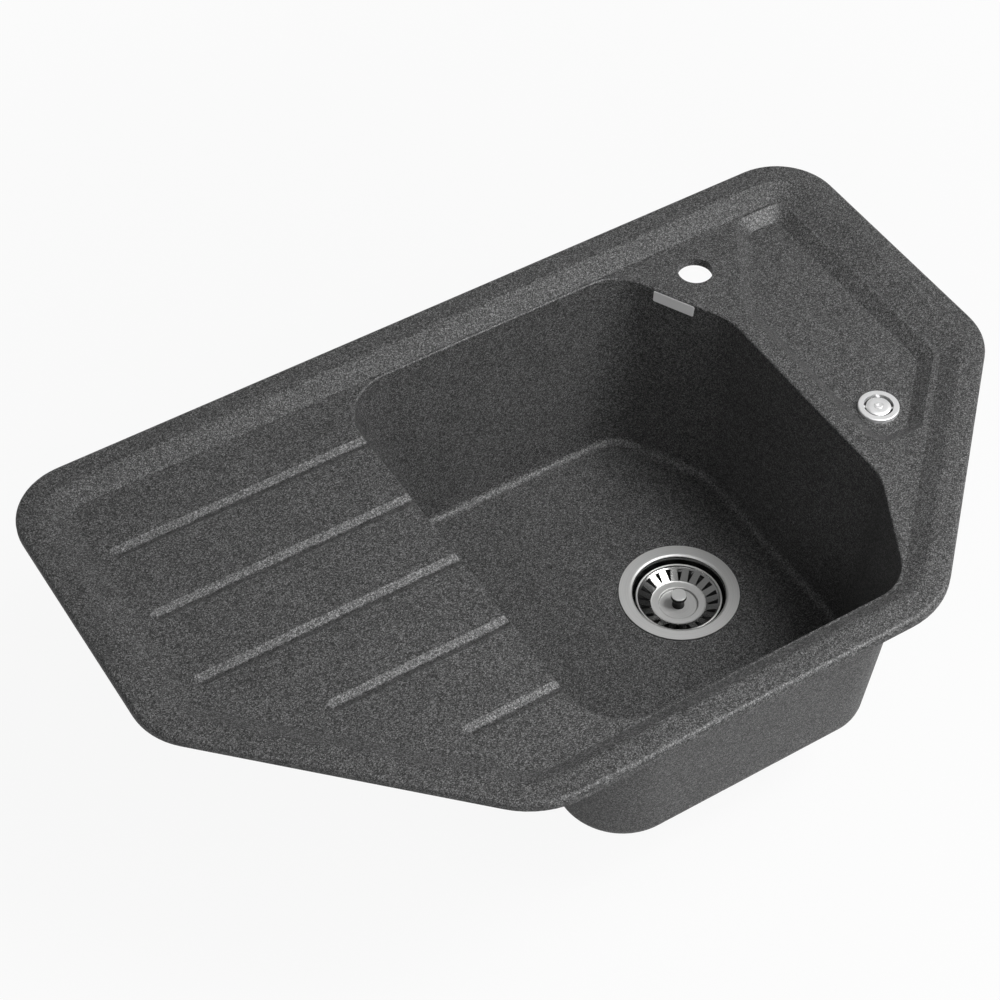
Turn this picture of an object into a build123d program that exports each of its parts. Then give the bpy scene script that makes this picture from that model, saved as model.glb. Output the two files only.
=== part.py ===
from build123d import *
from math import atan2, cos, pi, radians, sin, sqrt, tan
import os

os.makedirs("parts", exist_ok=True)

# Frame: z = 0 is the worktop, on which the rim rests. The origin is in the middle of the strip that
# rests on it along the long back edge. +X runs from the drainer to the bowl, +Y to the back edge.

# The moulding, seen from above: a rectangle with both front corners cut off at 45 degrees
sink_length = 900.0
sink_depth = 560.0
corner_cut = 243.5  # length that each cut takes from the side and from the front
back_corner_round = 64.0
side_corner_round = 70.0
front_corner_round = 88.0
rim_height = 9.0
wall = 9.0  # thickness of the rim, deck and tray
seat_width = 24.0  # strip of the rim's underside that rests on the worktop
rim_edge_round = 5.0

# The rim is a flat land with a slope down to the sunk deck. Widths are measured from the outer edge.
deck_drop = 8.5
land_back, land_side, land_cut, land_front = 25.0, 23.5, 22.8, 26.0
foot_back, foot_side, foot_cut, foot_front = 48.0, 50.5, 41.0, 40.0
least_corner_round = 12.0
land_edge_round = 10.0

# The bowl: a rectangle with both right-hand corners cut, its walls drawn in towards the floor
drainer_length = 325.5  # left edge of the sink to the bowl
shelf_length = 195.5  # bowl to the right edge of the sink
bowl_margin_back = 51.0
bowl_margin_front = 43.0
bowl_depth = 210.5  # deck to bowl floor
bowl_wall = 7.5  # thickness of the bowl's walls and floor
bowl_cut_angle = 27.25  # of the cut walls, from the right-hand wall
bowl_cut_clearance = 3.0  # bowl's rounded cut corner to the foot of the rim's slope
bowl_left_round = 57.0
bowl_end_round = 47.0
bowl_right_round = 57.0
bowl_draft_left, bowl_draft_right, bowl_draft_end, bowl_draft_cut = 22.0, 17.0, 22.0, 20.0
bowl_floor_round = 9.0
bowl_edge_round = 2.0

# Run-off grooves of the drainer, parallel to the back edge and open to the bowl
groove_count = 5
groove_pitch = 83.7
groove_width = 14.3
groove_sink = 3.9  # deck to the line where the two flanks would meet
groove_bottom_round = 3.0
groove_side_margin = 10.5  # groove ends to the foot of the side slope
groove_cut_margin = 25.0  # groove ends to the foot of the cut slope

# Soap tray in the right-hand shelf
tray_ledge = 19.5  # bowl to tray
tray_margin_back = 2.5  # slope foot to tray
tray_margin_side = 3.0
tray_margin_cut = 6.4
tray_sink = 10.0
tray_end_width = 50.0
tray_diagonal_width = 66.0
tray_diagonal_length = 107.0
tray_slope = 14.0
tray_rounds = (25.0, 14.0, 34.0, 22.0, 24.0, 40.0)
tray_floor_rounds = (16.0, 8.0, 26.0, 14.0, 14.0, 30.0)

# Holes through the moulding
tap_hole_radius = 17.5
tap_from_bowl = 10.5
tap_from_back = 89.6
drain_from_bowl_right = 129.5
drain_hole_radius = 48.5
overflow_hole_radius = 13.5
overflow_from_tray_left = 37.5
overflow_from_tray_front = 48.0

# Waste: a pressed steel cup that hangs by its flange in the bowl floor
flange_radius = 60.0
flange_lip_radius = 49.5
flange_proud = 0.8  # flange above the bowl floor
steel = 1.2
seal_thickness = 1.0
cup_radius = 46.0
cup_wall_depth = 20.0  # flange to the stopper's seat
seat_drop = 8.0
throat_radius = 36.0
cup_depth = 40.0
cup_hole_radius = 8.0
cup_hole_circle = 23.0
cup_hole_count = 6
seat_clearance = 1.0  # flange to the edge of its seat
seal_clearance = 0.5  # seal to the flange's rolled lip

# Drain body under the floor
body_wall = 3.2
body_flange_radius = 60.0
body_flange_thickness = 4.0
body_clearance = 1.2  # steel cup to plastic body
floor_seal_thickness = 3.0
floor_seal_width = 9.0
funnel_drop = 26.0
outlet_bore = 19.0
outlet_radius = 23.9
outlet_length = 28.0
branch_drop = 25.0  # underside of the bowl floor to the axis of the overflow branch
branch_bore = 8.5
funnel_gap = 2.0  # steel cup to the start of the funnel
web_count = 3
web_thickness = 3.0
hub_radius = 8.0
hub_length = 14.0

# Screws and their brass inserts
screw_radius = 3.0
screw_head_radius = 6.0
screw_head_height = 3.2
screw_play = 0.3
insert_radius = 5.0
insert_length = 6.0
insert_fit = 0.03
screw_tip = 2.0  # screw past its insert
drive_size = 3.4  # across the flats of the screw's hexagon socket
drive_depth = 1.2

# Strainer basket, its knob and the stopper below it
basket_radius = 43.0
basket_drop = 7.5  # flange to the top of the basket's rolled rim
basket_rim_bead = 1.0
basket_sheet = 1.0
dish_radius = 26.5
dish_drop = 17.0
dish_well_radius = 19.5
dish_well_depth = 3.2
slot_count = 20
slot_inner_radius = 28.0
slot_outer_radius = 39.0
slot_inner_width = 1.4
slot_outer_width = 5.6
knob_radius = 7.85
knob_waist_radius = 6.2
knob_top_drop = 3.8
knob_cap_height = 4.5
knob_edge = 0.6
post_radius = 4.0
post_collar_radius = 6.2
post_collar_height = 1.4
post_head_radius = 5.6
post_head_height = 1.2
running_fit = 0.06
end_play = 0.3
catch_flange_radius = 14.0
catch_flange_height = 2.0
catch_hub_radius = 8.0
catch_clip_radius = 11.0
catch_clip_height = 2.0
stopper_thickness = 3.0
stopper_radius = 43.0
stopper_lip_height = 1.6
stopper_clearance = 0.35

# Overflow: the plate in the tray, and its body under the tray
plate_radius = 19.8
plate_height = 3.6
plate_rim_width = 5.6
plate_edge_round = 1.2
plate_web = 1.0  # thickness of the plate between the slots and under the bridges
cap_radius = 11.8
cap_height = 2.0  # of the cap's edge
cap_dome = 1.2
plate_slot_count = 4
plate_slot_arc = 70.0
plate_slot_turn = 9.0
plate_screw_sink = 1.0  # top of the cap's dome to the seat of its screw
plate_screw_head_radius = 4.2
plate_screw_head_height = 1.6
gasket_thickness = 2.0
overflow_cup_wall = 2.5
overflow_cup_radius = 16.0
overflow_flange_radius = 21.5
overflow_flange_thickness = 3.0
overflow_cup_depth = 18.0
overflow_hub_radius = 7.0
overflow_hub_length = 12.0

# Hose between the overflow and the drain body
hose_radius = 10.6
hose_wall = 1.6
hose_play = 0.4
spigot_wall = 3.0
spigot_length = 18.0
hose_entry = 9.0
hose_straight = 74.0  # straight run below the overflow
hose_bend_drop = 142.0  # overflow end of the hose to its middle bend
hose_bend_shift_x, hose_bend_shift_y = -8.0, 14.0
hose_level_run = 64.0  # straight run before the branch
hose_bend_share = 0.45  # of the shorter run beside a bend, taken by the bend's rounding
hose_seal_length = 4.0
thread_fit = 0.05
nut_wall = 3.4
nut_length = 16.0
nut_end_wall = 3.0
nut_sides = 12

# Levels and lines worked out from the sizes above
back_y = seat_width / 2
deck_z = rim_height - deck_drop
deck_under_z = deck_z - wall
floor_z = deck_z - bowl_depth
floor_under_z = floor_z - bowl_wall
tray_z = deck_z - tray_sink
tray_under_z = tray_z - wall
flange_z = floor_z + flange_proud
cut_reach = sink_length / 2 + sink_depth - corner_cut
foot_reach = cut_reach - foot_cut * sqrt(2)


def cut_rectangle(side, back, front, reach):
    """Six corners of a rectangle with cut front corners, clockwise from the back left.

    side, back and front are distances from the origin's axes to the lines. reach is, along a cut,
    the distance from the middle plus the distance from the sink's back edge.
    """
    y_side = back_y - (reach - side)
    x_front = reach - (back_y - front)
    return [
        (-side, back),
        (side, back),
        (side, y_side),
        (x_front, front),
        (-x_front, front),
        (-side, y_side),
    ]


def sink_corners(side, back, front, cut):
    """The sink's own outline, moved inwards by a distance for each kind of side."""
    return cut_rectangle(
        sink_length / 2 - side,
        back_y - back,
        back_y - sink_depth + front,
        cut_reach - cut * sqrt(2),
    )


def sink_rounds(inset):
    """Corner radii of the outline after it has moved inwards."""
    rounds = [back_corner_round, back_corner_round, side_corner_round]
    rounds += [front_corner_round, front_corner_round, side_corner_round]
    return [max(r - inset, least_corner_round) for r in rounds]


def under_lead(run, drop):
    """How far a slope's foot lies further out on the underside, one wall below the upper face."""
    return wall * tan(atan2(drop, run) / 2)


def under_foot(land, foot):
    """Inset of the rim slope's foot on the underside."""
    return foot - under_lead(foot - land, deck_drop)


# The bowl's lines at deck level
bowl_left = -sink_length / 2 + drainer_length
bowl_right = sink_length / 2 - shelf_length
bowl_back = back_y - bowl_margin_back
bowl_front = back_y - sink_depth + bowl_margin_front
bowl_middle = (bowl_back + bowl_front) / 2
bowl_half = (bowl_back - bowl_front) / 2
cut_sin = sin(radians(bowl_cut_angle))
cut_cos = cos(radians(bowl_cut_angle))
# The rounded corner between the cut wall and the front wall lies just inside the rim's slope.
round_centre_x = (
    foot_reach
    - (bowl_cut_clearance + bowl_end_round) * sqrt(2)
    - (back_y - bowl_front - bowl_end_round)
)
bowl_end_x = round_centre_x + bowl_end_round * tan(radians(90 - bowl_cut_angle) / 2)
cut_line = cut_cos * bowl_end_x + cut_sin * bowl_half


def bowl_corners(left, right, end, cut):
    """Six corners of the bowl, each wall moved inwards by its own distance."""
    half = bowl_half - end
    x_right = bowl_right - right
    x_end = (cut_line - cut - cut_sin * half) / cut_cos
    y_right = (cut_line - cut - cut_cos * x_right) / cut_sin
    return [
        (bowl_left + left, bowl_middle + half),
        (x_end, bowl_middle + half),
        (x_right, bowl_middle + y_right),
        (x_right, bowl_middle - y_right),
        (x_end, bowl_middle - half),
        (bowl_left + left, bowl_middle - half),
    ]


def bowl_rounds(growth):
    """Corner radii of the bowl, with its wall's thickness added outside."""
    half_ring = [bowl_left_round, bowl_end_round, bowl_right_round]
    return [r + growth for r in half_ring + half_ring[::-1]]


# The tray's lines at deck level
tray_left = bowl_right + tray_ledge
tray_right = sink_length / 2 - foot_side - tray_margin_side
tray_back = back_y - foot_back - tray_margin_back
tray_reach = foot_reach - tray_margin_cut * sqrt(2)
tray_front = back_y - (tray_reach - tray_left - tray_end_width)


def tray_corners(inset):
    """Six corners of the tray, clockwise from the back left, moved inwards."""
    diagonal = sqrt(tray_diagonal_width**2 + tray_diagonal_length**2)
    slant_x = inset * (diagonal - tray_diagonal_width) / tray_diagonal_length
    slant_y = inset * (diagonal - tray_diagonal_length) / tray_diagonal_width
    x_left = tray_left + inset
    x_right = tray_right - inset
    y_back = tray_back - inset
    y_front = tray_front + inset
    reach = tray_reach - inset * sqrt(2)
    return [
        (tray_left + tray_diagonal_width + slant_x, y_back),
        (x_right, y_back),
        (x_right, back_y - (reach - x_right)),
        (reach - (back_y - y_front), y_front),
        (x_left, y_front),
        (x_left, tray_back - tray_diagonal_length - slant_y),
    ]


# Places of the waste and the overflow
drain_x = bowl_right - drain_from_bowl_right
drain_y = bowl_middle
overflow_x = tray_left + overflow_from_tray_left
overflow_y = tray_front + overflow_from_tray_front
tap_x = bowl_right + tap_from_bowl
tap_y = back_y - tap_from_back


# Hollows that are cut out of the moulding, and the forms that hang below it

with BuildPart() as deck_hollow:
    with BuildSketch(Plane.XY.offset(rim_height)):
        with BuildLine():
            FilletPolyline(
                sink_corners(land_side, land_back, land_front, land_cut),
                radius=sink_rounds(land_back),
                close=True,
            )
        make_face()
    with BuildSketch(Plane.XY.offset(deck_z)):
        with BuildLine():
            FilletPolyline(
                sink_corners(foot_side, foot_back, foot_front, foot_cut),
                radius=sink_rounds(foot_back),
                close=True,
            )
        make_face()
    loft(ruled=True)

with BuildPart() as bowl_hollow:
    with BuildSketch(Plane.XY.offset(deck_z)):
        with BuildLine():
            FilletPolyline(bowl_corners(0, 0, 0, 0), radius=bowl_rounds(0), close=True)
        make_face()
    with BuildSketch(Plane.XY.offset(floor_z)):
        with BuildLine():
            FilletPolyline(
                bowl_corners(bowl_draft_left, bowl_draft_right, bowl_draft_end, bowl_draft_cut),
                radius=bowl_rounds(0),
                close=True,
            )
        make_face()
    loft(ruled=True)
    fillet(bowl_hollow.faces().sort_by(Axis.Z)[0].edges(), bowl_floor_round)

with BuildPart() as bowl_form:
    with BuildSketch(Plane.XY.offset(deck_z)):
        with BuildLine():
            FilletPolyline(
                bowl_corners(-bowl_wall, -bowl_wall, -bowl_wall, -bowl_wall),
                radius=bowl_rounds(bowl_wall),
                close=True,
            )
        make_face()
    with BuildSketch(Plane.XY.offset(floor_under_z)):
        with BuildLine():
            FilletPolyline(
                bowl_corners(
                    bowl_draft_left - bowl_wall,
                    bowl_draft_right - bowl_wall,
                    bowl_draft_end - bowl_wall,
                    bowl_draft_cut - bowl_wall,
                ),
                radius=bowl_rounds(bowl_wall),
                close=True,
            )
        make_face()
    loft(ruled=True)
    fillet(bowl_form.faces().sort_by(Axis.Z)[0].edges(), bowl_floor_round + bowl_wall)

with BuildPart() as tray_hollow:
    with BuildSketch(Plane.XY.offset(deck_z)):
        with BuildLine():
            FilletPolyline(tray_corners(0), radius=tray_rounds, close=True)
        make_face()
    with BuildSketch(Plane.XY.offset(tray_z)):
        with BuildLine():
            FilletPolyline(tray_corners(tray_slope), radius=tray_floor_rounds, close=True)
        make_face()
    loft(ruled=True)

with BuildPart() as tray_form:
    lead = under_lead(tray_slope, tray_sink)
    with BuildSketch(Plane.XY.offset(deck_under_z)):
        with BuildLine():
            FilletPolyline(tray_corners(-lead), radius=tray_rounds, close=True)
        make_face()
    with BuildSketch(Plane.XY.offset(tray_under_z)):
        with BuildLine():
            FilletPolyline(tray_corners(tray_slope - lead), radius=tray_floor_rounds, close=True)
        make_face()
    loft(ruled=True)


# The moulding: rim, pan, bowl and tray in one thickness, then the grooves and the three holes
groove_end_x = bowl_left + bowl_edge_round + groove_sink
flange_seat_depth = steel + seal_thickness - flange_proud

# A groove's outline across it. Half of it, turned about its middle, makes the groove's closed end.
with BuildSketch() as groove_outline:
    with BuildLine():
        FilletPolyline(
            (-groove_width / 2, 0),
            (0, -groove_sink),
            (groove_width / 2, 0),
            radius=groove_bottom_round,
        )
        Line((-groove_width / 2, 0), (groove_width / 2, 0))
    make_face()

with BuildSketch() as groove_half:
    add(groove_outline.sketch)
    split(bisect_by=Plane.YZ)


def groove_form(start, length):
    """The form of one groove, from its closed end along +X."""
    across = Plane(origin=start, x_dir=(0, 1, 0), z_dir=(1, 0, 0))
    with BuildPart() as made:
        with BuildSketch(across):
            add(groove_outline.sketch)
        extrude(amount=length)
        with BuildSketch(across):
            add(groove_half.sketch)
        revolve(axis=Axis(start, (0, 0, 1)), revolution_arc=180)
    return made.part


groove_forms = []
for i in range(groove_count):
    groove_y = bowl_middle + (i - (groove_count - 1) / 2) * groove_pitch
    side_end = -sink_length / 2 + foot_side + groove_side_margin
    cut_end = back_y - groove_y - foot_reach + groove_cut_margin * sqrt(2)
    groove_start_x = max(side_end, cut_end) + groove_width / 2
    groove_forms.append(
        groove_form((groove_start_x, groove_y, deck_z), groove_end_x - groove_start_x)
    )

with BuildPart() as sink_body:
    with BuildSketch():
        with BuildLine():
            FilletPolyline(sink_corners(0, 0, 0, 0), radius=sink_rounds(0), close=True)
        make_face()
    extrude(amount=rim_height)
    fillet(sink_body.faces().sort_by(Axis.Z)[-1].edges(), rim_edge_round)
    with BuildSketch():
        with BuildLine():
            FilletPolyline(
                sink_corners(seat_width, seat_width, seat_width, seat_width),
                radius=sink_rounds(seat_width),
                close=True,
            )
        make_face()
    with BuildSketch(Plane.XY.offset(deck_under_z)):
        with BuildLine():
            FilletPolyline(
                sink_corners(
                    under_foot(land_side, foot_side),
                    under_foot(land_back, foot_back),
                    under_foot(land_front, foot_front),
                    under_foot(land_cut, foot_cut),
                ),
                radius=sink_rounds(foot_back),
                close=True,
            )
        make_face()
    loft(ruled=True)
    add(bowl_form.part)
    add(tray_form.part)
    add(deck_hollow.part, mode=Mode.SUBTRACT)
    land_face = sink_body.faces().filter_by(Plane.XY).sort_by(Axis.Z)[-1]
    fillet(land_face.inner_wires()[0].edges(), land_edge_round)
    add(bowl_hollow.part, mode=Mode.SUBTRACT)
    deck_faces = sink_body.faces().filter_by_position(Axis.Z, deck_z, deck_z)
    fillet(deck_faces.sort_by(SortBy.AREA)[-1].inner_wires()[0].edges(), bowl_edge_round)
    add(tray_hollow.part, mode=Mode.SUBTRACT)
    for form in groove_forms:
        add(form, mode=Mode.SUBTRACT)
    with Locations((tap_x, tap_y, deck_z)):
        Hole(tap_hole_radius)
    with Locations((overflow_x, overflow_y, tray_z)):
        Hole(overflow_hole_radius)
    with Locations((drain_x, drain_y, floor_z)):
        CounterBoreHole(drain_hole_radius, flange_radius + seat_clearance, flange_seat_depth)
sink_body.part.label = "sink_body"
export_step(sink_body.part, "parts/sink_body.step")


def axis_plane(x, y):
    """Upright plane through a vertical axis: its x is the distance from the axis, its y is the height."""
    return Plane(origin=(x, y, 0), x_dir=(1, 0, 0), z_dir=(0, -1, 0))


waste_plane = axis_plane(drain_x, drain_y)
waste_axis = Axis((drain_x, drain_y, 0), (0, 0, 1))
overflow_plane = axis_plane(overflow_x, overflow_y)
overflow_axis = Axis((overflow_x, overflow_y, 0), (0, 0, 1))

# The waste's steel cup: flange, rolled lip, wall, stopper seat, throat and bottom in one pressing
cup_bottom_z = flange_z - cup_depth
seat_top_z = flange_z - cup_wall_depth
seat_low_z = seat_top_z - seat_drop
lip_round = flange_lip_radius - cup_radius

with BuildPart() as drain_flange:
    with BuildSketch(waste_plane):
        with BuildLine():
            cup_line = FilletPolyline(
                (flange_radius, flange_z),
                (cup_radius, flange_z),
                (cup_radius, seat_top_z),
                (throat_radius, seat_low_z),
                (throat_radius, cup_bottom_z),
                (0, cup_bottom_z),
                radius=[lip_round, steel, steel, 2 * steel],
            )
            offset(cup_line, steel, side=Side.LEFT)
        make_face()
    revolve(axis=waste_axis)
    with Locations((drain_x, drain_y, cup_bottom_z)):
        Hole(screw_radius + screw_play)
        with PolarLocations(cup_hole_circle, cup_hole_count):
            Hole(cup_hole_radius)
drain_flange.part.label = "drain_flange"
export_step(drain_flange.part, "parts/drain_flange.step")


def ring(plane, axis, inner, outer, low, high):
    """A plain ring round an upright axis."""
    with BuildPart() as made:
        with BuildSketch(plane):
            with BuildLine():
                Polyline((inner, low), (outer, low), (outer, high), (inner, high), close=True)
            make_face()
        revolve(axis=axis)
    return made.part


flange_seal = ring(
    waste_plane,
    waste_axis,
    flange_lip_radius + seal_clearance,
    flange_radius,
    flange_z - steel - seal_thickness,
    flange_z - steel,
)
flange_seal.label = "flange_seal"
export_step(flange_seal, "parts/flange_seal.step")

body_top_z = floor_under_z - floor_seal_thickness
floor_seal = ring(
    waste_plane,
    waste_axis,
    body_flange_radius - floor_seal_width,
    body_flange_radius,
    body_top_z,
    floor_under_z,
)
floor_seal.label = "floor_seal"
export_step(floor_seal, "parts/floor_seal.step")

# Drain body: flanged funnel with an outlet spigot, a side branch and a web that holds the insert
body_bore = cup_radius + steel + body_clearance
funnel_top_z = cup_bottom_z - steel - funnel_gap
funnel_low_z = funnel_top_z - funnel_drop
outlet_z = funnel_low_z - outlet_length
web_top_z = cup_bottom_z - steel
web_low_z = web_top_z - hub_length
branch_z = floor_under_z - branch_drop
socket_radius = hose_radius + hose_play
spigot_radius = socket_radius + spigot_wall
branch_end_x = drain_x + body_bore + body_wall + spigot_length
funnel_lean = (body_bore - outlet_bore) / funnel_drop
rib_reach_high = body_bore + body_wall / 2
rib_reach_low = rib_reach_high - (funnel_top_z - web_low_z) * funnel_lean

with BuildPart() as drain_body:
    with BuildSketch(waste_plane):
        with BuildLine():
            Polyline(
                (0, body_top_z),
                (body_flange_radius, body_top_z),
                (body_flange_radius, body_top_z - body_flange_thickness),
                (body_bore + body_wall, body_top_z - body_flange_thickness),
                (body_bore + body_wall, funnel_top_z),
                (outlet_radius, funnel_low_z),
                (outlet_radius, outlet_z),
                (0, outlet_z),
                close=True,
            )
        make_face()
    revolve(axis=waste_axis)
    with Locations((drain_x, drain_y, branch_z)):
        Cylinder(
            spigot_radius,
            branch_end_x - drain_x,
            rotation=(0, 90, 0),
            align=(Align.CENTER, Align.CENTER, Align.MIN),
        )
    with BuildSketch(waste_plane):
        with BuildLine():
            Polyline(
                (0, body_top_z),
                (body_bore, body_top_z),
                (body_bore, funnel_top_z),
                (outlet_bore, funnel_low_z),
                (outlet_bore, outlet_z),
                (0, outlet_z),
                close=True,
            )
        make_face()
    revolve(axis=waste_axis, mode=Mode.SUBTRACT)
    with Locations((drain_x + throat_radius + steel, drain_y, branch_z)):
        Cylinder(
            branch_bore,
            branch_end_x - drain_x,
            rotation=(0, 90, 0),
            align=(Align.CENTER, Align.CENTER, Align.MIN),
            mode=Mode.SUBTRACT,
        )
    with Locations((branch_end_x, drain_y, branch_z)):
        Cylinder(
            socket_radius,
            hose_entry,
            rotation=(0, 90, 0),
            align=(Align.CENTER, Align.CENTER, Align.MAX),
            mode=Mode.SUBTRACT,
        )
    for i in range(web_count):
        turn = radians(180 + i * 360 / web_count)
        outward = (cos(turn), sin(turn), 0)
        across = (sin(turn), -cos(turn), 0)
        with BuildSketch(Plane(origin=(drain_x, drain_y, 0), x_dir=outward, z_dir=across)):
            with BuildLine():
                Polyline(
                    (0, funnel_top_z),
                    (rib_reach_high, funnel_top_z),
                    (rib_reach_low, web_low_z),
                    (0, web_low_z),
                    close=True,
                )
            make_face()
        extrude(amount=web_thickness / 2, both=True)
    with Locations((drain_x, drain_y, web_low_z)):
        Cylinder(hub_radius, hub_length, align=(Align.CENTER, Align.CENTER, Align.MIN))
        Cylinder(
            screw_radius + screw_play,
            hub_length,
            align=(Align.CENTER, Align.CENTER, Align.MIN),
            mode=Mode.SUBTRACT,
        )
        Cylinder(
            insert_radius + insert_fit,
            insert_length,
            align=(Align.CENTER, Align.CENTER, Align.MIN),
            mode=Mode.SUBTRACT,
        )
drain_body.part.label = "drain_body"
export_step(drain_body.part, "parts/drain_body.step")


def brass_insert(x, y, low):
    """Round brass insert with a bore for the screw's thread."""
    with BuildPart() as made:
        with Locations((x, y, low)):
            Cylinder(insert_radius, insert_length, align=(Align.CENTER, Align.CENTER, Align.MIN))
            Cylinder(
                screw_radius + insert_fit,
                insert_length,
                align=(Align.CENTER, Align.CENTER, Align.MIN),
                mode=Mode.SUBTRACT,
            )
    return made.part


def socket_screw(x, y, seat, tip, head_radius, head_height):
    """Round-headed screw with a hexagon socket, its head on seat and its end at tip."""
    with BuildPart() as made:
        with Locations((x, y, tip)):
            Cylinder(screw_radius, seat - tip, align=(Align.CENTER, Align.CENTER, Align.MIN))
        with Locations((x, y, seat)):
            Cylinder(head_radius, head_height, align=(Align.CENTER, Align.CENTER, Align.MIN))
        fillet(made.edges().sort_by(Axis.Z)[-1], head_height / 2)
        with BuildSketch(Plane.XY.offset(seat + head_height)):
            with Locations((x, y)):
                RegularPolygon(drive_size / 2, 6, major_radius=False)
        extrude(amount=-drive_depth, mode=Mode.SUBTRACT)
    return made.part


drain_nut = brass_insert(drain_x, drain_y, web_low_z)
drain_nut.label = "drain_nut"
export_step(drain_nut, "parts/drain_nut.step")

drain_screw = socket_screw(
    drain_x,
    drain_y,
    cup_bottom_z,
    web_low_z - screw_tip,
    screw_head_radius,
    screw_head_height,
)
drain_screw.label = "drain_screw"
export_step(drain_screw, "parts/drain_screw.step")

# Strainer basket: rolled rim, slotted cone, flat ring and a well in the middle, pressed in one piece
basket_top_z = flange_z - basket_drop
bead_z = basket_top_z - basket_rim_bead
bead_radius = basket_radius - basket_rim_bead
dish_z = flange_z - dish_drop
well_z = dish_z - dish_well_depth
basket_under_z = well_z - basket_sheet
cone_top_z = bead_z - 2 * basket_rim_bead

with BuildPart() as basket_cup:
    with BuildSketch(waste_plane):
        with BuildLine():
            basket_line = FilletPolyline(
                (bead_radius, bead_z),
                (bead_radius - basket_rim_bead, cone_top_z),
                (dish_radius, dish_z),
                (dish_well_radius, dish_z),
                (dish_well_radius, well_z),
                (0, well_z),
                radius=[basket_sheet, 2 * basket_sheet, basket_sheet, basket_sheet],
            )
            offset(basket_line, basket_sheet, side=Side.LEFT)
        make_face()
    revolve(axis=waste_axis)
    with BuildSketch(Plane.XY.offset(cone_top_z)):
        with Locations((drain_x, drain_y)):
            with PolarLocations(0, slot_count):
                Polygon(
                    (slot_inner_radius, -slot_inner_width / 2),
                    (slot_outer_radius, -slot_outer_width / 2),
                    (slot_outer_radius, slot_outer_width / 2),
                    (slot_inner_radius, slot_inner_width / 2),
                    align=None,
                )
    extrude(amount=dish_z - basket_sheet - cone_top_z, mode=Mode.SUBTRACT)
    with BuildSketch(waste_plane):
        with Locations((bead_radius, bead_z)):
            Circle(basket_rim_bead)
    revolve(axis=waste_axis)
    with Locations((drain_x, drain_y, well_z)):
        Hole(post_radius + running_fit)
basket_cup.part.label = "basket_cup"
export_step(basket_cup.part, "parts/basket_cup.step")

# Post: a collar holds the basket, a small head below holds the stopper. The knob is screwed on top.
knob_top_z = flange_z - knob_top_drop
knob_low_z = well_z + post_collar_height
knob_cap_z = knob_top_z - knob_cap_height
post_top_z = knob_cap_z
catch_top_z = basket_under_z - end_play
stopper_top_z = catch_top_z - catch_flange_height
stopper_under_z = stopper_top_z - stopper_thickness
clip_low_z = stopper_under_z - catch_clip_height
post_head_z = clip_low_z - end_play

with BuildPart() as basket_post:
    with BuildSketch(waste_plane):
        with BuildLine():
            Polyline(
                (0, post_top_z),
                (post_radius, post_top_z),
                (post_radius, knob_low_z),
                (post_collar_radius, knob_low_z),
                (post_collar_radius, well_z),
                (post_radius, well_z),
                (post_radius, post_head_z),
                (post_head_radius, post_head_z),
                (post_head_radius, post_head_z - post_head_height),
                (0, post_head_z - post_head_height),
                close=True,
            )
        make_face()
    revolve(axis=waste_axis)
basket_post.part.label = "basket_post"
export_step(basket_post.part, "parts/basket_post.step")

with BuildPart() as basket_knob:
    with BuildSketch(waste_plane):
        with BuildLine():
            Polyline(
                (0, knob_top_z),
                (knob_radius - knob_edge, knob_top_z),
                (knob_radius, knob_top_z - knob_edge),
                (knob_radius, knob_cap_z),
            )
            Spline(
                (knob_radius, knob_cap_z),
                (knob_waist_radius, (knob_cap_z + knob_low_z) / 2),
                (post_collar_radius, knob_low_z),
            )
            Polyline(
                (post_collar_radius, knob_low_z),
                (post_radius + running_fit, knob_low_z),
                (post_radius + running_fit, post_top_z),
                (0, post_top_z),
                (0, knob_top_z),
            )
        make_face()
    revolve(axis=waste_axis)
basket_knob.part.label = "basket_knob"
export_step(basket_knob.part, "parts/basket_knob.step")

# Stopper: a rubber disc whose lip seals on the cup's cone, on a plastic hub that turns on the post
seat_lean = seat_drop / (cup_radius - throat_radius)


def seat_height(radius):
    """Height of the stopper's underside above the cup's cone, at a radius."""
    return seat_top_z - (cup_radius - radius) * seat_lean + stopper_clearance


stopper_flat_radius = cup_radius - (seat_top_z + stopper_clearance - stopper_under_z) / seat_lean

with BuildPart() as stopper_seal:
    with BuildSketch(waste_plane):
        with BuildLine():
            Polyline(
                (catch_hub_radius, stopper_under_z),
                (stopper_flat_radius, stopper_under_z),
                (stopper_radius, seat_height(stopper_radius)),
                (stopper_radius, seat_height(stopper_radius) + stopper_lip_height),
                (stopper_flat_radius, stopper_top_z),
                (catch_hub_radius, stopper_top_z),
                close=True,
            )
        make_face()
    revolve(axis=waste_axis)
stopper_seal.part.label = "stopper_seal"
export_step(stopper_seal.part, "parts/stopper_seal.step")

with BuildPart() as stopper_catch:
    with BuildSketch(waste_plane):
        with BuildLine():
            Polyline(
                (post_radius + running_fit, catch_top_z),
                (catch_flange_radius, catch_top_z),
                (catch_flange_radius, stopper_top_z),
                (catch_hub_radius, stopper_top_z),
                (catch_hub_radius, stopper_under_z),
                (catch_clip_radius, stopper_under_z),
                (catch_hub_radius, clip_low_z),
                (post_radius + running_fit, clip_low_z),
                close=True,
            )
        make_face()
    revolve(axis=waste_axis)
stopper_catch.part.label = "stopper_catch"
export_step(stopper_catch.part, "parts/stopper_catch.step")

# Overflow plate: a raised ring and a domed cap joined by bridges between arc slots
slot_mid_radius = (cap_radius + plate_radius - plate_rim_width) / 2
slot_width = plate_radius - plate_rim_width - cap_radius
plate_top_z = tray_z + plate_height
cap_edge_z = tray_z + cap_height
cap_top_z = cap_edge_z + cap_dome
plate_seat_z = cap_top_z - plate_screw_sink
plate_well_radius = plate_screw_head_radius + screw_play

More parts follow.
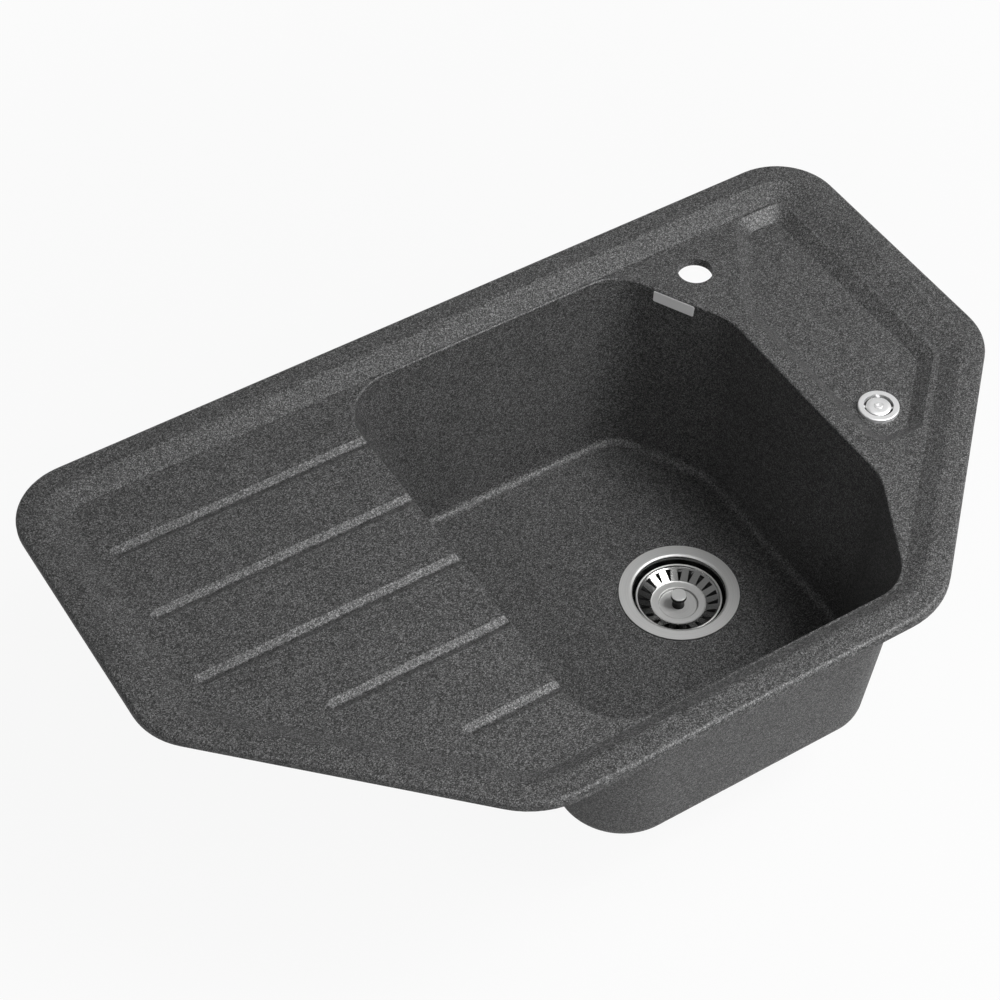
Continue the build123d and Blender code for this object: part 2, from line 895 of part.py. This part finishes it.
with BuildPart() as overflow_plate:
    with BuildSketch(overflow_plane):
        with BuildLine():
            Polyline((0, plate_seat_z), (plate_well_radius, plate_seat_z))
            Line((plate_well_radius, plate_seat_z), (plate_well_radius, cap_top_z))
            Spline(
                (plate_well_radius, cap_top_z),
                (cap_radius, cap_edge_z),
                tangents=((1, 0), (1, -1)),
            )
            Polyline(
                (cap_radius, cap_edge_z),
                (cap_radius, tray_z + plate_web),
                (cap_radius + slot_width, tray_z + plate_web),
                (cap_radius + slot_width, plate_top_z),
                (plate_radius, plate_top_z),
                (plate_radius, tray_z),
                (0, tray_z),
                (0, plate_seat_z),
            )
        make_face()
    revolve(axis=overflow_axis)
    top_edges = overflow_plate.edges().filter_by_position(Axis.Z, plate_top_z, plate_top_z)
    fillet(top_edges.sort_by(SortBy.RADIUS)[-1], plate_edge_round)
    with BuildSketch(Plane.XY.offset(tray_z)):
        with Locations((overflow_x, overflow_y)):
            with PolarLocations(0, plate_slot_count, start_angle=plate_slot_turn):
                SlotArc(
                    CenterArc((0, 0), slot_mid_radius, -plate_slot_arc / 2, plate_slot_arc),
                    slot_width,
                )
    extrude(amount=plate_height, mode=Mode.SUBTRACT)
    with Locations((overflow_x, overflow_y, tray_z)):
        Hole(screw_radius + screw_play)
overflow_plate.part.label = "overflow_plate"
export_step(overflow_plate.part, "parts/overflow_plate.step")

# Overflow body under the tray: flanged cup, web with the insert, and a spigot for the hose
overflow_flange_z = tray_under_z - gasket_thickness
overflow_floor_z = overflow_flange_z - overflow_cup_depth
overflow_end_z = overflow_floor_z - spigot_length
overflow_hub_z = overflow_flange_z - overflow_hub_length

overflow_gasket = ring(
    overflow_plane,
    overflow_axis,
    overflow_hole_radius,
    overflow_flange_radius,
    overflow_flange_z,
    tray_under_z,
)
overflow_gasket.label = "overflow_gasket"
export_step(overflow_gasket, "parts/overflow_gasket.step")

with BuildPart() as overflow_body:
    with BuildSketch(overflow_plane):
        with BuildLine():
            Polyline(
                (overflow_cup_radius - overflow_cup_wall, overflow_flange_z),
                (overflow_flange_radius, overflow_flange_z),
                (overflow_flange_radius, overflow_flange_z - overflow_flange_thickness),
                (overflow_cup_radius, overflow_flange_z - overflow_flange_thickness),
                (overflow_cup_radius, overflow_floor_z),
                (spigot_radius, overflow_floor_z),
                (spigot_radius, overflow_end_z),
                (socket_radius, overflow_end_z),
                (socket_radius, overflow_end_z + hose_entry),
                (branch_bore, overflow_end_z + hose_entry),
                (branch_bore, overflow_floor_z + overflow_cup_wall),
                (overflow_cup_radius - overflow_cup_wall, overflow_floor_z + overflow_cup_wall),
                close=True,
            )
        make_face()
    revolve(axis=overflow_axis)
    with Locations((overflow_x, overflow_y, overflow_flange_z)):
        Cylinder(
            overflow_hub_radius,
            overflow_hub_length,
            align=(Align.CENTER, Align.CENTER, Align.MAX),
        )
        Box(
            2 * overflow_cup_radius - overflow_cup_wall,
            web_thickness,
            overflow_hub_length,
            align=(Align.CENTER, Align.CENTER, Align.MAX),
        )
        Cylinder(
            screw_radius + screw_play,
            overflow_hub_length,
            align=(Align.CENTER, Align.CENTER, Align.MAX),
            mode=Mode.SUBTRACT,
        )
    with Locations((overflow_x, overflow_y, overflow_hub_z)):
        Cylinder(
            insert_radius + insert_fit,
            insert_length,
            align=(Align.CENTER, Align.CENTER, Align.MIN),
            mode=Mode.SUBTRACT,
        )
overflow_body.part.label = "overflow_body"
export_step(overflow_body.part, "parts/overflow_body.step")

overflow_nut = brass_insert(overflow_x, overflow_y, overflow_hub_z)
overflow_nut.label = "overflow_nut"
export_step(overflow_nut, "parts/overflow_nut.step")

overflow_screw = socket_screw(
    overflow_x,
    overflow_y,
    plate_seat_z,
    overflow_hub_z - screw_tip,
    plate_screw_head_radius,
    plate_screw_head_height,
)
overflow_screw.label = "overflow_screw"
export_step(overflow_screw, "parts/overflow_screw.step")

# Hose: straight down out of the overflow, then round under the bowl and level into the branch
hose_start_z = overflow_end_z + hose_entry
hose_end_x = branch_end_x - hose_entry
hose_points = [
    (overflow_x, overflow_y, hose_start_z),
    (overflow_x, overflow_y, hose_start_z - hose_straight),
    (
        overflow_x + hose_bend_shift_x,
        overflow_y + hose_bend_shift_y,
        hose_start_z - hose_bend_drop,
    ),
    (hose_end_x + hose_level_run, drain_y, branch_z),
    (hose_end_x, drain_y, branch_z),
]
hose_runs = [(Vector(b) - Vector(a)) for a, b in zip(hose_points, hose_points[1:])]
hose_radii = [
    hose_bend_share * min(a.length, b.length) / tan(radians(a.get_angle(b)) / 2)
    for a, b in zip(hose_runs, hose_runs[1:])
]
print("hose radii", [round(r, 1) for r in hose_radii])

with BuildPart() as overflow_hose:
    with BuildLine():
        hose_path = FilletPolyline(*hose_points, radius=hose_radii)
    with BuildSketch(Plane(origin=hose_points[0], x_dir=(1, 0, 0), z_dir=(0, 0, -1))):
        Circle(hose_radius)
        Circle(hose_radius - hose_wall, mode=Mode.SUBTRACT)
    sweep()
overflow_hose.part.label = "overflow_hose"
export_step(overflow_hose.part, "parts/overflow_hose.step")
hose_section = pi * (hose_radius**2 - (hose_radius - hose_wall) ** 2)
hose_fill = overflow_hose.part.volume / hose_section / hose_path.length
print("hose length", round(hose_path.length, 1), "volume ratio", round(hose_fill, 4))


def hose_seal(end):
    """Rubber ring round the hose against the spigot's end. The end plane looks along the hose."""
    with BuildPart() as made:
        with BuildSketch(end):
            Circle(spigot_radius)
            Circle(hose_radius + thread_fit, mode=Mode.SUBTRACT)
        extrude(amount=hose_seal_length)
    return made.part


def hose_nut(end):
    """Union nut over the spigot and the seal, with a many-sided grip."""
    front = nut_end_wall + hose_seal_length
    with BuildPart() as made:
        with BuildSketch(end.offset(front)):
            RegularPolygon(spigot_radius + nut_wall, nut_sides, major_radius=False)
            Circle(hose_radius + hose_play, mode=Mode.SUBTRACT)
        extrude(amount=-nut_length)
        with BuildSketch(end.offset(hose_seal_length)):
            Circle(spigot_radius + thread_fit)
        extrude(amount=nut_end_wall - nut_length, mode=Mode.SUBTRACT)
    return made.part


overflow_end = Plane(origin=(overflow_x, overflow_y, overflow_end_z), x_dir=(1, 0, 0), z_dir=(0, 0, -1))
branch_end = Plane(origin=(branch_end_x, drain_y, branch_z), x_dir=(0, 1, 0), z_dir=(1, 0, 0))
for name, end in (("top", overflow_end), ("bottom", branch_end)):
    seal = hose_seal(end)
    seal.label = f"hose_seal_{name}"
    export_step(seal, f"parts/hose_seal_{name}.step")
    nut = hose_nut(end)
    nut.label = f"hose_nut_{name}"
    export_step(nut, f"parts/hose_nut_{name}.step")
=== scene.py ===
import bpy
import numpy as np
from mathutils import Matrix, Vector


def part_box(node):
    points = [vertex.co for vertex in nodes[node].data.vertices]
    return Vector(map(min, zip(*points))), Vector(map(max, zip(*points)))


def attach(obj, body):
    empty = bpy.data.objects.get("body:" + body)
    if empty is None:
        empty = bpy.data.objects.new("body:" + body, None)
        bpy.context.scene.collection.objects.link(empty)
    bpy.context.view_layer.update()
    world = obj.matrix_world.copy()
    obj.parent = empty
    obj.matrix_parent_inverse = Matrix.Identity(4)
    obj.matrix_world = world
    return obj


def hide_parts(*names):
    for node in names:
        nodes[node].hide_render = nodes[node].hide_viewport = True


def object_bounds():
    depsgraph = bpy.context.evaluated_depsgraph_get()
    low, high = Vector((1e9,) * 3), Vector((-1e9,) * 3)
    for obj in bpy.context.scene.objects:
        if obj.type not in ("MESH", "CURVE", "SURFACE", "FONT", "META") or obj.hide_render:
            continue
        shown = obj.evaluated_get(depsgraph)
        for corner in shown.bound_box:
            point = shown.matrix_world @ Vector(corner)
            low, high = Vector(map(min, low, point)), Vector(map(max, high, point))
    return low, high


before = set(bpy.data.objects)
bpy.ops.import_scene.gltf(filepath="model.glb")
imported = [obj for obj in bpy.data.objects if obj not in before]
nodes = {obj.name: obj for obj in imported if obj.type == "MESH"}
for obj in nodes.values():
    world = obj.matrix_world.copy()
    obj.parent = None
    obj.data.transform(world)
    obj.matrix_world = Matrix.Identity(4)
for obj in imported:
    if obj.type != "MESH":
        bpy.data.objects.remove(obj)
cad_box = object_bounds()

# ---------------------------------------------------------------------------------------------
# Studio: a white floor, two soft lamps high to the right in front of the sink and a weak one to its
# left, and a pale surround that polished metal shows darker overhead. The camera is high before
# the drainer's end.


class Wire:
    """A socket of a node tree. An expression on wires and numbers adds its Math nodes."""

    def __init__(self, maker, socket):
        self.maker = maker
        self.socket = socket

    def math(self, operation, *values):
        """A Math node on the given wires and numbers."""
        return self.maker.node("ShaderNodeMath", {"operation": operation}, dict(enumerate(values)))

    def or_more(self, other):
        """The larger of this and another wire or number."""
        return self.math("MAXIMUM", self, other)

    def above(self, level):
        """1 where this is greater than level, else 0."""
        return self.math("GREATER_THAN", self, level)

    def __add__(self, other):
        return self.math("ADD", self, other)

    def __sub__(self, other):
        return self.math("SUBTRACT", self, other)

    def __rsub__(self, other):
        return self.math("SUBTRACT", other, self)

    def __mul__(self, other):
        return self.math("MULTIPLY", self, other)

    def __truediv__(self, other):
        return self.math("DIVIDE", self, other)

    def __pow__(self, other):
        return self.math("POWER", self, other)

    __radd__ = __add__
    __rmul__ = __mul__


class Finish:
    """A material or world under construction, whose nodes all come from the one method node."""

    def __init__(self, owner):
        owner.use_nodes = True
        self.owner = owner
        self.tree = owner.node_tree
        self.tree.nodes.clear()

    def node(self, kind, settings=None, inputs=None, out=0):
        """Adds a node: its settings first, then a value or a wire for each named socket."""
        made = self.tree.nodes.new(kind)
        for key, value in (settings or {}).items():
            if key == "stops":
                ramp = made.color_ramp
                while len(ramp.elements) < len(value):
                    ramp.elements.new(0.5)
                for element, (place, level) in zip(ramp.elements, value):
                    element.position = place
                    element.color = (level, level, level, 1)
            else:
                setattr(made, key, value)
        for key, value in (inputs or {}).items():
            if isinstance(value, Wire):
                self.tree.links.new(value.socket, made.inputs[key])
            else:
                made.inputs[key].default_value = value
        return Wire(self, made.outputs[out]) if len(made.outputs) else made


def seen_directly(maker, in_polish):
    """1 for a ray from the camera, in_polish for one off polished metal or glass, else 0."""
    from_camera, off_polish, through_glass = (
        maker.node("ShaderNodeLightPath", out=name)
        for name in ("Is Camera Ray", "Is Glossy Ray", "Is Transmission Ray")
    )
    return from_camera.or_more(off_polish.or_more(through_glass) * in_polish)


ambient_light = 0.1
overhead_paleness = 0.12
horizon_paleness = 0.5
horizon_narrowness = 12

surround = Finish(bpy.data.worlds.new("surround"))
ray_direction = surround.node("ShaderNodeTexCoord", out="Generated")
ray_height = surround.node("ShaderNodeSeparateXYZ", inputs={0: ray_direction}, out=2)
at_horizon = (1 + horizon_narrowness * ray_height * ray_height) ** -1.0
in_polish = overhead_paleness + horizon_paleness * at_horizon
background = surround.node(
    "ShaderNodeBackground",
    inputs={
        "Color": (1, 1, 1, 1),
        "Strength": ambient_light + (1 - ambient_light) * seen_directly(surround, in_polish),
    },
)
surround.node("ShaderNodeOutputWorld", inputs={"Surface": background})
bpy.context.scene.world = surround.owner


def link(name, data):
    """An object with the given data, in the scene."""
    made = bpy.data.objects.new(name, data)
    bpy.context.scene.collection.objects.link(made)
    return made


floor_reach = 9
floor_gap = 0.0005
floor_level = cad_box[0][2] - floor_gap
floor_corners = [(-1, -1), (1, -1), (1, 1), (-1, 1)]
floor_mesh = bpy.data.meshes.new("floor")
floor_mesh.from_pydata(
    [(x * floor_reach, y * floor_reach, floor_level) for x, y in floor_corners],
    [],
    [(0, 1, 2, 3)],
)
floor = link("floor", floor_mesh)

# The floor glows white to the camera, and near the sink a small share of it is lit paper instead.
paper_share = 0.08
paper_falloff = 0.4
floor_in_polish = 0.3

paper = Finish(bpy.data.materials.new("white_paper"))
distance = paper.node(
    "ShaderNodeVectorMath",
    {"operation": "LENGTH"},
    {0: paper.node("ShaderNodeTexCoord", out="Object")},
    out="Value",
)
glow_share = 1 - paper_share * (1 + paper_falloff * distance**4.0) ** -1.0
lit = paper.node(
    "ShaderNodeBsdfPrincipled",
    inputs={"Base Color": (0.58, 0.58, 0.58, 1), "Roughness": 0.9},
)
glow = paper.node("ShaderNodeEmission", inputs={"Color": (1, 1, 1, 1), "Strength": 1.0})
share = glow_share * seen_directly(paper, floor_in_polish)
both = paper.node("ShaderNodeMixShader", inputs={0: share, 1: lit, 2: glow})
paper.node("ShaderNodeOutputMaterial", inputs={"Surface": both})
floor_mesh.materials.append(paper.owner)


def aim(thing, place, right, down, forward):
    """Puts a camera or lamp at a place, looking along forward."""
    columns = [right, np.negative(down), np.negative(forward), place]
    thing.matrix_world = Matrix(np.vstack([np.transpose(columns), (0, 0, 0, 1)]).tolist())


sink_centre = (0.1, -0.27, 0.0)
lamp_width = 1.0


def soft_lamp(name, place, power):
    """A square area lamp at place, pointed at the sink's centre."""
    data = bpy.data.lights.new(name, "AREA")
    data.size = lamp_width
    data.energy = power
    forward = np.subtract(sink_centre, place)
    forward = forward / np.linalg.norm(forward)
    right = np.cross(forward, (0, 0, 1))
    right = right / np.linalg.norm(right)
    aim(link(name, data), place, right, np.cross(forward, right), forward)


soft_lamp("key_high", (1.06, -1.16, 2.01), power=51.0)
soft_lamp("key_low", (1.08, -1.97, 1.38), power=21.0)
soft_lamp("fill_left", (-1.41, -1.53, 1.38), power=9.0)

lens = bpy.data.cameras.new("camera")
lens.lens = 89.789
lens.sensor_width = 36
lens.clip_end = 30
camera = link("camera", lens)
aim(
    camera,
    place=(-0.83677, -1.51470, 1.70660),
    right=(0.85137, -0.52453, -0.00545),
    down=(-0.39698, -0.63750, -0.66030),
    forward=(0.34288, 0.56433, -0.75098),
)
bpy.context.scene.camera = camera
bpy.context.scene.view_settings.view_transform = "Standard"

# ---------------------------------------------------------------------------------------------
# The moulding: quartz sand in a dark resin, cast in one piece between two moulds. The skin is
# matt, with dark and light grains of about a millimetre and finer sand, which stand out a little.


def paint(names, finish):
    """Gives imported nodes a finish, in their objects' own material slots."""
    for name in names:
        for slot in nodes[name].material_slots:
            slot.material = finish.owner


def finished(maker, **sockets):
    """Ends a finish with its Principled BSDF. An underscore in a name stands for a space."""
    shader = maker.node(
        "ShaderNodeBsdfPrincipled",
        inputs={key.replace("_", " "): value for key, value in sockets.items()},
    )
    maker.node("ShaderNodeOutputMaterial", inputs={"Surface": shader})
    return maker


def grey(maker, value):
    """A grey colour from a number that changes over the surface."""
    return maker.node("ShaderNodeCombineColor", inputs={0: value, 1: value, 2: value})


def place_on(maker):
    """The place of a point of the surface, in metres."""
    return maker.node("ShaderNodeTexCoord", out="Object")


def cells(maker, size):
    """A random number from 0 to 1 for each of many small cells, about size across."""
    colour = maker.node(
        "ShaderNodeTexVoronoi",
        inputs={"Vector": place_on(maker), "Scale": 1 / size},
        out="Color",
    )
    return maker.node("ShaderNodeSeparateColor", inputs={0: colour})


def clouds(maker, size, detail=2.0):
    """Smooth noise from 0 to 1 whose lumps are about size across."""
    return maker.node(
        "ShaderNodeTexNoise",
        inputs={"Vector": place_on(maker), "Scale": 1 / size, "Detail": detail},
    )


def bump(maker, height, depth, **under):
    """A bump whose height of 1 is depth metres, laid over an optional Normal."""
    return maker.node(
        "ShaderNodeBump",
        inputs={"Strength": 1.0, "Distance": depth, "Height": height, **under},
    )


grain_tones = ((0.0, 0.004), (0.25, 0.019), (0.6, 0.07), (0.85, 0.135), (1.0, 0.22))

composite = Finish(bpy.data.materials.new("composite"))
grain = cells(composite, size=0.0009)
sand = cells(composite, size=0.0003)
tone = composite.node("ShaderNodeValToRGB", {"stops": grain_tones}, {"Fac": grain})
mottle = (clouds(composite, size=0.05) * 0.3 + 0.85) * (sand * 0.9 + 0.55)
finished(
    composite,
    Base_Color=grey(composite, tone * mottle),
    Specular_IOR_Level=0.55,
    Roughness=0.52 - 0.1 * grain,
    Normal=bump(composite, grain + 0.5 * sand, depth=0.00008),
)
paint(["sink_body"], composite)

# ---------------------------------------------------------------------------------------------
# The waste's steel: the pressed cup with its flange, the strainer basket and the central screw,
# polished on a lathe, which leaves fine rings. The faces that lie level are satin instead.

waste_low, waste_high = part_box("drain_flange")
waste_middle = (waste_low + waste_high) / 2
ring_width = 0.00125


def from_axis(maker, middle=(0, 0)):
    """The x, y and z of a point of the surface, from an upright axis through middle."""
    centred = maker.node(
        "ShaderNodeMapping",
        {"vector_type": "POINT"},
        {"Vector": place_on(maker), "Location": (-middle[0], -middle[1], 0)},
    )
    return [maker.node("ShaderNodeSeparateXYZ", inputs={0: centred}, out=i) for i in range(3)]


def turned(name, middle, tint, satin_spans=(), painted_shade_level=1.0):
    """Metal turned about an upright axis. It is satin within the given spans of height; elsewhere
    it is polished, and its tint is multiplied by the last argument, a painted shade that darkens
    the polished parts to stand for the dark things they reflect."""
    made = Finish(bpy.data.materials.new(name))
    x, y, height = from_axis(made, middle)
    radius = (x * x + y * y) ** 0.5
    rings = made.node(
        "ShaderNodeTexNoise",
        inputs={
            "Vector": made.node("ShaderNodeCombineXYZ", inputs={0: radius, 1: height}),
            "Scale": 1 / ring_width,
            "Detail": 3.0,
            "Roughness": 0.65,
        },
    )
    satin = sum(height.above(low) - height.above(high) for low, high in satin_spans)
    # Painted shade: outside the satin spans the tint is brought down by the painted shade level, in
    # place of the dark surroundings that polished steel reflects; the rings add real turning marks.
    level = (painted_shade_level + (1 - painted_shade_level) * satin) * (1 - 0.2 * rings)
    tinted = {channel: level * share for channel, share in enumerate(tint)}
    return finished(
        made,
        Base_Color=made.node("ShaderNodeCombineColor", inputs=tinted),
        Metallic=1.0,
        Roughness=0.12 + 0.1 * rings + 0.06 * clouds(made, size=0.01) + 0.37 * satin,
        Normal=bump(made, rings, depth=0.00002),
    )


steel_tint = (0.82, 0.82, 0.81)
below_all = -1.0
above_all = 1.0
flange_satin_depth = 0.0013
basket_rim_depth = 0.0012
basket_ring_depths = (0.009, 0.0103)
basket_well_depth = 0.0124

basket_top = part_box("basket_cup")[1][2]
flange_satin = [(waste_high[2] - flange_satin_depth, above_all)]
basket_satin = [
    (basket_top - basket_rim_depth, above_all),
    (basket_top - basket_ring_depths[1], basket_top - basket_ring_depths[0]),
    (below_all, basket_top - basket_well_depth),
]
# Painted shade: the polished cup inside the flange and the basket's polished slats are darkened to
# stand for the dark well and bowl they reflect.
paint(["drain_flange"], turned("steel", waste_middle, steel_tint, flange_satin, painted_shade_level=0.3))
paint(["basket_cup"], turned("steel_basket", waste_middle, steel_tint, basket_satin, painted_shade_level=0.6))
paint(["drain_screw"], turned("steel_screw", waste_middle, steel_tint))

# ---------------------------------------------------------------------------------------------
# The basket's knob and post: round pieces with black sides, the knob fixed on the post's top and
# the post held in the middle of the basket. A satin steel cap closes the knob's top.

black = (0.006, 0.006, 0.006, 1)
cap_steel = (0.88, 0.88, 0.87, 1)
cap_thickness = 0.0008
cap_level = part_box("basket_knob")[1][2] - cap_thickness

knob = Finish(bpy.data.materials.new("knob"))
cap = from_axis(knob)[2].above(cap_level)
wear = clouds(knob, size=0.003, detail=3.0)
finished(
    knob,
    Base_Color=knob.node(
        "ShaderNodeMix", {"data_type": "RGBA"}, {"Factor": cap, 6: black, 7: cap_steel}, out=2
    ),
    Metallic=cap,
    Specular_IOR_Level=0.1,
    Roughness=0.48 + 0.12 * wear,
    Normal=bump(knob, wear, depth=0.00002),
)
paint(["basket_knob", "basket_post"], knob)

# ---------------------------------------------------------------------------------------------
# Rubber: the seals of the waste, the overflow and the hose, and the basket's stopper disc,
# pressed from matt black rubber with a faint bloom.

rubber = Finish(bpy.data.materials.new("rubber"))
bloom = clouds(rubber, size=0.008, detail=4.0)
finished(
    rubber,
    Base_Color=grey(rubber, 0.016 + 0.014 * bloom),
    Roughness=0.62 + 0.18 * bloom,
    Normal=bump(rubber, clouds(rubber, size=0.0006), depth=0.00005),
)
paint(["flange_seal", "floor_seal", "stopper_seal", "overflow_gasket"], rubber)
paint(["hose_seal_top", "hose_seal_bottom"], rubber)

# ---------------------------------------------------------------------------------------------
# Moulded black plastic: the drain body, the overflow body, the stopper's hub and the union nuts,
# with the fine grain of the mould. The drain body's outlet has an eleven-to-the-inch thread.

thread_pitch = 0.00231
thread_depth = 0.002
thread_radius = 0.0234
thread_length = 0.0269
thread_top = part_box("drain_body")[0][2] + thread_length


def threaded(maker, normal):
    """Ridges over a normal: a triangle wave along a helix about the waste's axis, below
    thread_top and further out than thread_radius."""
    x, y, height = from_axis(maker, waste_middle)
    turns = height / thread_pitch + x.math("ARCTAN2", y, x) / (2 * np.pi)
    ridge = turns.math("PINGPONG", turns, 0.5)
    there = ((x * x + y * y) ** 0.5).above(thread_radius) - height.above(thread_top)
    return bump(maker, ridge * there.or_more(0.0), depth=thread_depth, Normal=normal)


def moulded_plastic(name, has_outlet=False):
    """Black plastic, with the thread where the piece has the outlet."""
    made = Finish(bpy.data.materials.new(name))
    flow = clouds(made, size=0.03, detail=3.0)
    normal = bump(made, clouds(made, size=0.0004), depth=0.00004)
    return finished(
        made,
        Base_Color=grey(made, 0.020 + 0.016 * flow),
        Roughness=0.36 + 0.14 * flow,
        Normal=threaded(made, normal) if has_outlet else normal,
    )


paint(["drain_body"], moulded_plastic("black_plastic_outlet", has_outlet=True))
paint(
    ["stopper_catch", "overflow_body", "hose_nut_top", "hose_nut_bottom"],
    moulded_plastic("black_plastic"),
)

# ---------------------------------------------------------------------------------------------
# Brass: the two inserts that take the screws of the waste and of the overflow, turned from bar
# and set into the plastic bodies.

overflow_low, overflow_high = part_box("overflow_plate")
overflow_middle = (overflow_low + overflow_high) / 2
brass_tint = (0.70, 0.53, 0.25)
paint(["drain_nut"], turned("brass", waste_middle, brass_tint))
paint(["overflow_nut"], turned("brass_overflow", overflow_middle, brass_tint))

# ---------------------------------------------------------------------------------------------
# Overflow plate and its screw: a pressed plate with satin chrome that looks almost white, held in
# the tray by the screw in its middle.

chrome = Finish(bpy.data.materials.new("chrome"))
haze = clouds(chrome, size=0.006, detail=3.0)
finished(
    chrome,
    Base_Color=grey(chrome, 0.96 - 0.05 * haze),
    Metallic=1.0,
    Roughness=0.5 + 0.1 * haze,
    Normal=bump(chrome, clouds(chrome, size=0.004), depth=0.00002),
)
paint(["overflow_plate", "overflow_screw"], chrome)

# ---------------------------------------------------------------------------------------------
# Overflow hose: a grey corrugated tube, drawn straight down out of the overflow and round under
# the bowl into the drain body's branch, with a plain cuff at each end for its nut and seal.

hose_radius = 0.0106
hose_rib_pitch = 0.0033
hose_rib_depth = 0.0016
hose_bore_radius = hose_radius - 1.5 * hose_rib_depth
hose_cuff = 0.016
hose_route = [
    (0.3115, -0.31547, -0.0475),
    (0.3115, -0.31547, -0.1215),
    (0.3035, -0.30147, -0.1895),
    (0.2496, -0.272, -0.2425),
    (0.1856, -0.272, -0.2425),
]


def route_points(name, points):
    """Points along the smooth line that has the given route as its control points."""
    curve = bpy.data.curves.new(name, "CURVE")
    curve.dimensions = "3D"
    spline = curve.splines.new("NURBS")
    spline.points.add(len(points) - 1)
    spline.points.foreach_set("co", np.hstack([points, np.ones((len(points), 1))]).ravel())
    spline.order_u = 3
    spline.use_endpoint_u = True
    spline.resolution_u = 24
    carrier = link(name, curve)
    line = bpy.data.meshes.new_from_object(carrier)
    found = np.zeros(len(line.vertices) * 3)
    line.vertices.foreach_get("co", found)
    bpy.data.objects.remove(carrier)
    bpy.data.meshes.remove(line)
    return found.reshape(-1, 3)


def grid_faces(rows, columns):
    """Quads between the points of a grid whose rows close on themselves, row after row."""
    i, j = np.meshgrid(np.arange(rows - 1), np.arange(columns), indexing="ij")
    k = (j + 1) % columns
    corners = [i * columns + j, i * columns + k, (i + 1) * columns + k, (i + 1) * columns + j]
    return np.stack(corners, -1).reshape(-1, 4).tolist()


def surface(name, points, faces, finish):
    """A smooth-shaded mesh piece from arrays of points and faces."""
    mesh = bpy.data.meshes.new(name)
    mesh.from_pydata(points.reshape(-1, 3).tolist(), [], faces)
    mesh.polygons.foreach_set("use_smooth", np.ones(len(mesh.polygons), bool))
    mesh.materials.append(finish.owner)
    mesh.update()
    made = link(name, mesh)
    return made


def corrugated(name, line, finish, steps_per_rib, around):
    """A tube along a line. Its radius is the hose's own, less a cosine wave of the rib's pitch that
    fades out at both cuffs; at each end the wall turns inwards to the bore's radius."""
    runs = np.linalg.norm(np.diff(line, axis=0), axis=1)
    along = np.concatenate([[0], np.cumsum(runs)])
    length = along[-1]
    s = np.linspace(0, length, int(length / hose_rib_pitch * steps_per_rib) + 1)
    centre = np.stack([np.interp(s, along, line[:, k]) for k in range(3)], 1)
    forward = np.gradient(centre, axis=0)
    forward /= np.linalg.norm(forward, axis=1)[:, None]
    side = np.cross(forward, (0, 1, 0))
    side /= np.linalg.norm(side, axis=1)[:, None]
    lift = np.cross(forward, side)
    fade = np.clip((np.minimum(s, length - s) - hose_cuff) / hose_rib_pitch, 0, 1)
    wave = 0.5 - 0.5 * np.cos(2 * np.pi * s / hose_rib_pitch)
    outer = hose_radius - hose_rib_depth * fade * wave
    radius = np.concatenate([[hose_bore_radius], outer, [hose_bore_radius]])[:, None, None]
    order = np.concatenate([[0], np.arange(len(s)), [len(s) - 1]])
    turn = np.linspace(0, 2 * np.pi, around, endpoint=False)[None, :, None]
    points = (
        centre[order][:, None]
        + radius * np.cos(turn) * side[order][:, None]
        + radius * np.sin(turn) * lift[order][:, None]
    )
    return surface(name, points, grid_faces(len(order), around), finish)


hose_plastic = Finish(bpy.data.materials.new("hose_plastic"))
dust = clouds(hose_plastic, size=0.012, detail=4.0)
finished(
    hose_plastic,
    Base_Color=grey(hose_plastic, 0.26 + 0.08 * dust),
    Roughness=0.42 + 0.2 * dust,
    Normal=bump(hose_plastic, clouds(hose_plastic, size=0.0007), depth=0.00004),
)
hose_line = route_points("hose_line", hose_route)
hose = corrugated("hose", hose_line, hose_plastic, steps_per_rib=10, around=36)
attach(hose, "sink")
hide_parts("overflow_hose")

# ---------------------------------------------------------------------------------------------
# A small bare plate on the bowl's right-hand back wall, just under the edge: pale lacquered sheet
# with rounded corners, glued flat against the wall.

plate_middle = (0.22575, -0.09764, -0.00814)
plate_along = (0.45787, -0.88902, 0.0)
plate_up = (0.08409, 0.04331, 0.99552)
plate_out = (-0.88503, -0.45582, 0.09459)
plate_length = 0.045
plate_width = 0.0125
plate_thickness = 0.0004
plate_corner = 0.0015
plate_edge = 0.00012
plate_gap = 0.00005


def rounded_plate(name, finish, around):
    """A flat plate. Its outline is a rectangle with quarter-circle corners; going up its side, the
    outline is taken in along a quarter circle at each edge and then a little more on each face."""
    turn = np.linspace(0, 2 * np.pi, around, endpoint=False) + np.pi / around
    circle = np.stack([np.cos(turn), np.sin(turn)], 1)
    half_size = (plate_length / 2 - plate_corner, plate_width / 2 - plate_corner)
    curl = np.linspace(0, np.pi / 2, 5)
    taken_in = plate_edge * (1 - np.sin(curl))
    raised = plate_edge * (1 - np.cos(curl))
    face_in = [3 * plate_edge]
    inset = np.concatenate([face_in, taken_in, taken_in[::-1], face_in])
    level = np.concatenate([[0], raised, plate_thickness - raised[::-1], [plate_thickness]])
    flat = np.sign(circle) * half_size + (plate_corner - inset)[:, None, None] * circle
    points = (
        np.array(plate_middle)
        + flat[..., :1] * plate_along
        + flat[..., 1:] * plate_up
        + (plate_gap + level)[:, None, None] * plate_out
    )
    rows = len(level)
    under = np.arange(around)[::-1].tolist()
    over = np.arange((rows - 1) * around, rows * around).tolist()
    return surface(name, points, grid_faces(rows, around) + [under, over], finish)


lacquer = Finish(bpy.data.materials.new("lacquer"))
film = clouds(lacquer, size=0.002, detail=3.0)
finished(
    lacquer,
    Base_Color=grey(lacquer, 0.9 + 0.04 * film),
    Roughness=0.3 + 0.12 * film,
    Normal=bump(lacquer, film, depth=0.00003),
)
bare_plate = rounded_plate("label_plate", lacquer, around=32)
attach(bare_plate, "sink")
